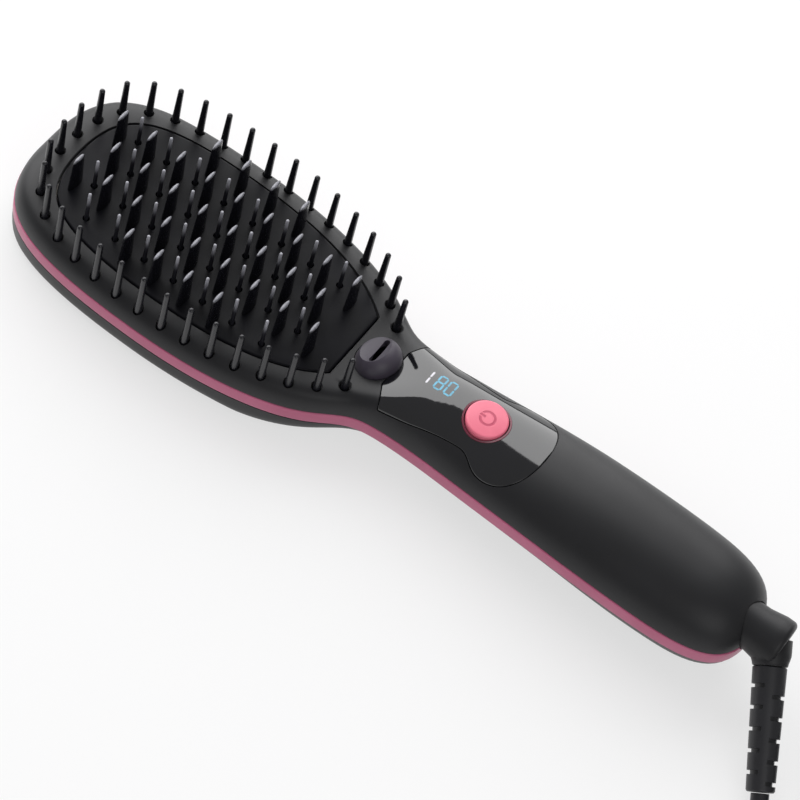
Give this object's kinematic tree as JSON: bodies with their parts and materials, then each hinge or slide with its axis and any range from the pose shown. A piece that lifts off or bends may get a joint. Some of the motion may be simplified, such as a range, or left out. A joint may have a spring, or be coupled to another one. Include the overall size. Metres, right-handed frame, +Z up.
{
  "type": "hair straightening brush",
  "caption": "Corded paddle-style brush with a heated bristle plate, cool outer pins, a neck control panel with a power button, and a swivel cord with plug.",
  "frame": {"origin": "on the table under the middle of the brush, without its cord", "axes": "+X along the brush from the head to the handle's end, +Y to the left of it, +Z up through the bristles"},
  "size_m": [0.4931, 0.1148, 0.0415],
  "materials": {
    "soft_touch": "matte soft-touch moulding, charcoal",
    "pink_trim": "satin dusty pink",
    "pink_button": "satin pink",
    "panel_gloss": "high gloss black",
    "ceramic_black": "glossy black ceramic coating on aluminium",
    "black_nylon": "satin black nylon",
    "dark_rubber": "matte dark grey",
    "pale_nylon": "satin off-white",
    "board_green": "green solder mask",
    "steel": "bright steel",
    "brass": "plain brass",
    "ceramic": "off-white ceramic"
  },
  "bodies": {
    "body": {"upper_housing": "soft_touch", "rear_housing": "soft_touch", "trim_band": "pink_trim", "heater_plate": "ceramic_black", "bristle_ring": "black_nylon", "pin_comb": "black_nylon", "heater_frame": "pale_nylon", "heating_element_1": "ceramic", "heating_element_2": "ceramic", "heater_clamp": "steel", "clamp_screw_1": "steel", "clamp_screw_2": "steel", "thermal_fuse": "steel", "thermistor": "ceramic", "ion_outlet": "soft_touch", "ion_needle": "steel", "ion_generator": "black_nylon", "control_panel": "panel_gloss", "display_module": "black_nylon", "control_board": "board_green", "board_screw_1": "steel", "board_screw_2": "steel", "tact_switch": "black_nylon", "housing_screw_1": "steel", "housing_screw_2": "steel", "swivel_bush": "pale_nylon", "contact_block": "brass", "cord": "dark_rubber", "cord_coil": "dark_rubber", "coil_tie": "dark_rubber", "cord_tail": "dark_rubber", "plug_body": "dark_rubber", "plug_pin_1": "steel", "plug_pin_2": "steel"},
    "button": {"power_button": "pink_button", "switch_plunger": "pale_nylon"},
    "swivel": {"swivel_knuckle": "soft_touch", "cord_guard": "dark_rubber"}
  },
  "joints": [
    {"name": "power_button_press", "type": "slide", "parent": "body", "child": "button", "axis": [0, 0, -1], "range_m": [0, 0.0008], "stiffness_N_per_m": 1500},
    {"name": "cord_swivel", "type": "hinge", "parent": "body", "child": "swivel", "pos_m": [0.1433, 0, 0.0259], "axis": [-1, 0, 0], "continuous": true}
  ]
}
